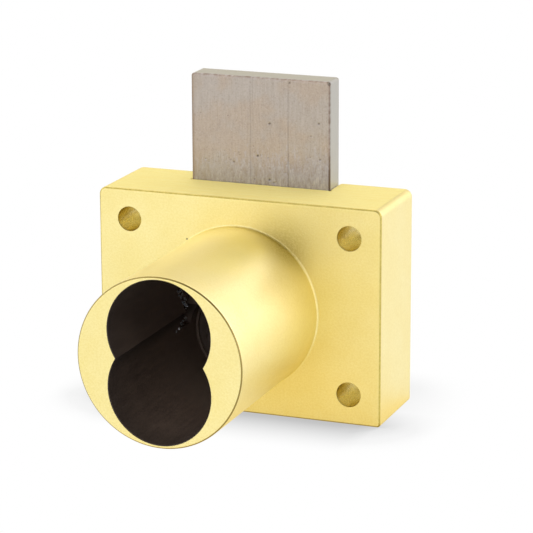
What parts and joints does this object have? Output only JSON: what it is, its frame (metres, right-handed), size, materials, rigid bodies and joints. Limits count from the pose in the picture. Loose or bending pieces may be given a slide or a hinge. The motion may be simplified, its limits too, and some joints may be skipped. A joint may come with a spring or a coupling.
{
  "type": "drawer deadbolt lock",
  "caption": "Rim lock for a drawer: round barrel with a figure-eight core socket, flat case with corner screw holes, and a sliding flat deadbolt driven by a turning throw member.",
  "frame": {"origin": "centre of the four screw holes, in the plane of the mounting face that lies against the back of the drawer front", "axes": "+Z is the way the bolt is thrown, -Y points out of the barrel's mouth towards the user, +X to the right seen from the front"},
  "size_m": [0.0428, 0.0423, 0.0472],
  "materials": {
    "lacquered_brass": "satin brass under clear lacquer",
    "plated_cover": "zinc-plated sheet",
    "screw_steel": "bright zinc plate",
    "nickel_bolt": "dull nickel on a drawn steel plate, fine upright grain and small pits",
    "dark_steel": "oiled dark steel"
  },
  "bodies": {
    "lock_case": {"housing": "lacquered_brass", "back_cover": "plated_cover", "cover_screws": "screw_steel"},
    "bolt": {"deadbolt": "nickel_bolt"},
    "throw_member": {"throw_disc": "dark_steel", "drive_prongs": "dark_steel", "spring_washer": "screw_steel", "crank_arm": "dark_steel", "drive_stud": "screw_steel"}
  },
  "joints": [
    {"name": "bolt_slide", "type": "slide", "parent": "lock_case", "child": "bolt", "axis": [0, 0, 1], "range_m": [-0.01565, 0]},
    {"name": "throw_turn", "type": "hinge", "parent": "lock_case", "child": "throw_member", "pos_m": [0, 0.0055, -0.0043], "axis": [0, 1, 0], "range_deg": [0, 92.9]}
  ],
  "couplings": [
    {"joint": "throw_turn", "follows": "bolt_slide", "rad_per_m": -103.58}
  ]
}
